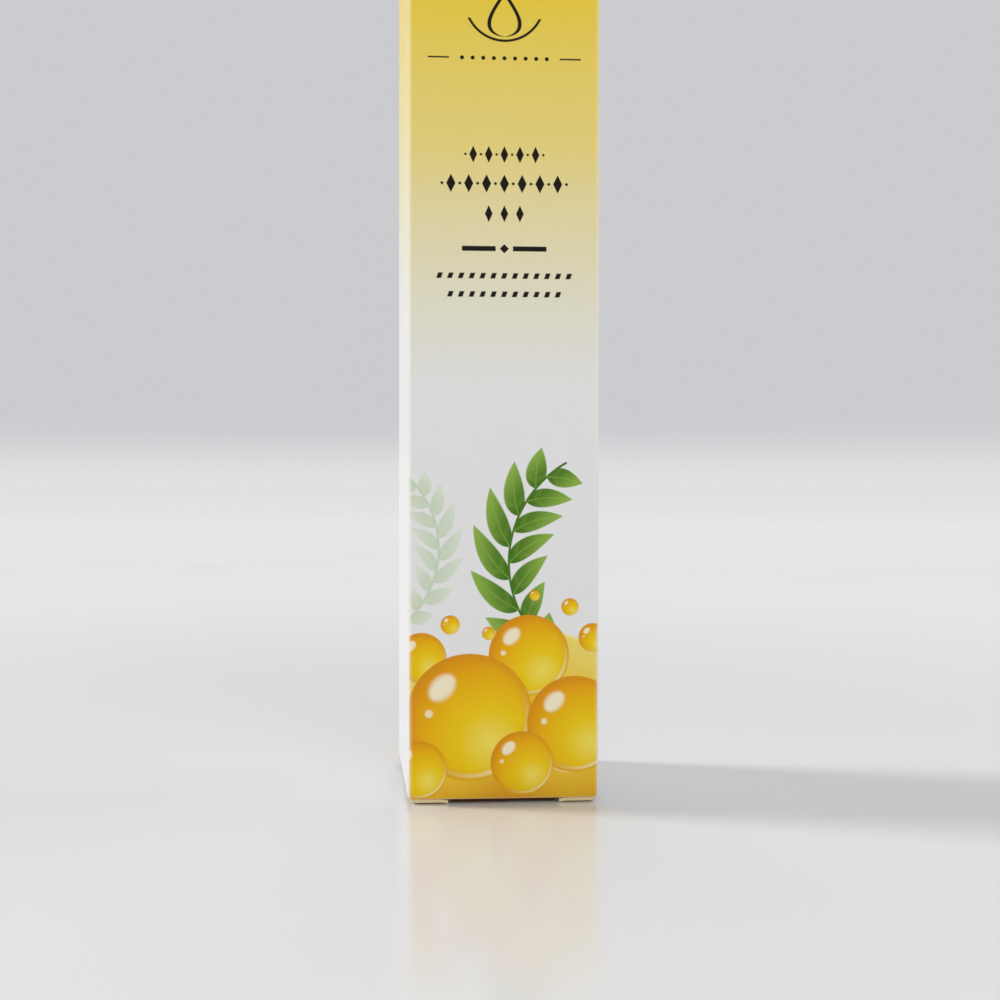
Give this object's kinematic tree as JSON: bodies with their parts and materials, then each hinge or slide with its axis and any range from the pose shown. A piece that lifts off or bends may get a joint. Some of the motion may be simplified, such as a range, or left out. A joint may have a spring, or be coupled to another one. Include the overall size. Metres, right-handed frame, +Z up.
{
  "type": "cuticle oil bottle in its folding carton",
  "caption": "Slim square folding carton with a tuck lid at each end, standing upright, holding a slim round cuticle oil bottle with a screw cap and brush.",
  "frame": {"origin": "middle of the carton's footprint, on the surface that it stands on", "axes": "+Z up along the carton's height, -Y out of the front wall, +X to the right seen from the front; both lids hinge on the back wall at +Y"},
  "size_m": [0.02, 0.02, 0.125],
  "materials": {
    "printed_board": "white coated folding boxboard, printed, satin",
    "clear_glass": "clear, polished",
    "golden_oil": "clear golden liquid",
    "soft_plastic": "translucent soft polyethylene",
    "gold_lacquer": "metallised gold lacquer on plastic",
    "white_plastic": "moulded, satin",
    "liner_foam": "soft foamed polyethylene",
    "stem_plastic": "smooth acetal",
    "anchor_wire": "drawn wire",
    "brush_hair": "fine nylon filament"
  },
  "bodies": {
    "carton": {"carton_sleeve": "printed_board"},
    "top_lid": {"top_lid": "printed_board"},
    "top_tuck": {"top_tuck_flap": "printed_board"},
    "top_dust_left": {"top_dust_flap_left": "printed_board"},
    "top_dust_right": {"top_dust_flap_right": "printed_board"},
    "bottom_lid": {"bottom_lid": "printed_board"},
    "bottom_tuck": {"bottom_tuck_flap": "printed_board"},
    "bottom_dust_left": {"bottom_dust_flap_left": "printed_board"},
    "bottom_dust_right": {"bottom_dust_flap_right": "printed_board"},
    "bottle": {"glass_bottle": "clear_glass", "cuticle_oil": "golden_oil", "neck_wiper": "soft_plastic"},
    "wand": {"brush_stem": "stem_plastic", "brush_anchor": "anchor_wire", "brush_bristles": "brush_hair"},
    "cap": {"cap_shell": "gold_lacquer", "cap_thread_insert": "white_plastic", "sealing_liner": "liner_foam"}
  },
  "joints": [
    {"name": "top_lid_hinge", "type": "hinge", "parent": "carton", "child": "top_lid", "pos_m": [0, 0.00965, 0.12465], "axis": [-1, 0, 0], "range_deg": [0, 110]},
    {"name": "top_tuck_fold", "type": "hinge", "parent": "top_lid", "child": "top_tuck", "pos_m": [0, -0.0089, 0.12465], "axis": [-1, 0, 0], "range_deg": [-69, 0]},
    {"name": "top_dust_left_fold", "type": "hinge", "parent": "carton", "child": "top_dust_left", "pos_m": [-0.00965, 0, 0.124], "axis": [0, -1, 0], "range_deg": [0, 61]},
    {"name": "top_dust_right_fold", "type": "hinge", "parent": "carton", "child": "top_dust_right", "pos_m": [0.00965, 0, 0.124], "axis": [0, 1, 0], "range_deg": [0, 61]},
    {"name": "bottom_lid_hinge", "type": "hinge", "parent": "carton", "child": "bottom_lid", "pos_m": [0, 0.00965, 0.00035], "axis": [1, 0, 0], "range_deg": [0, 110]},
    {"name": "bottom_tuck_fold", "type": "hinge", "parent": "bottom_lid", "child": "bottom_tuck", "pos_m": [0, -0.0089, 0.00035], "axis": [1, 0, 0], "range_deg": [-69, 0]},
    {"name": "bottom_dust_left_fold", "type": "hinge", "parent": "carton", "child": "bottom_dust_left", "pos_m": [-0.00965, 0, 0.001], "axis": [0, 1, 0], "range_deg": [0, 61]},
    {"name": "bottom_dust_right_fold", "type": "hinge", "parent": "carton", "child": "bottom_dust_right", "pos_m": [0.00965, 0, 0.001], "axis": [0, -1, 0], "range_deg": [0, 61]},
    {"name": "bottle_lift", "type": "slide", "parent": "carton", "child": "bottle", "axis": [0, 0, 1], "range_m": [0, 0.002]},
    {"name": "cap_rise", "type": "slide", "parent": "bottle", "child": "wand", "axis": [0, 0, 1], "range_m": [0, 0.00301]},
    {"name": "cap_twist", "type": "hinge", "parent": "wand", "child": "cap", "pos_m": [0, 0, 0.0723], "axis": [0, 0, 1], "range_deg": [0, 450]}
  ],
  "couplings": [
    {"joint": "top_tuck_fold", "follows": "top_lid_hinge", "ratio": -0.62},
    {"joint": "top_dust_left_fold", "follows": "top_lid_hinge", "ratio": 0.55},
    {"joint": "top_dust_right_fold", "follows": "top_lid_hinge", "ratio": 0.55},
    {"joint": "bottom_tuck_fold", "follows": "bottom_lid_hinge", "ratio": -0.62},
    {"joint": "bottom_dust_left_fold", "follows": "bottom_lid_hinge", "ratio": 0.55},
    {"joint": "bottom_dust_right_fold", "follows": "bottom_lid_hinge", "ratio": 0.55},
    {"joint": "cap_rise", "follows": "cap_twist", "m_per_rad": 0.00038197}
  ]
}
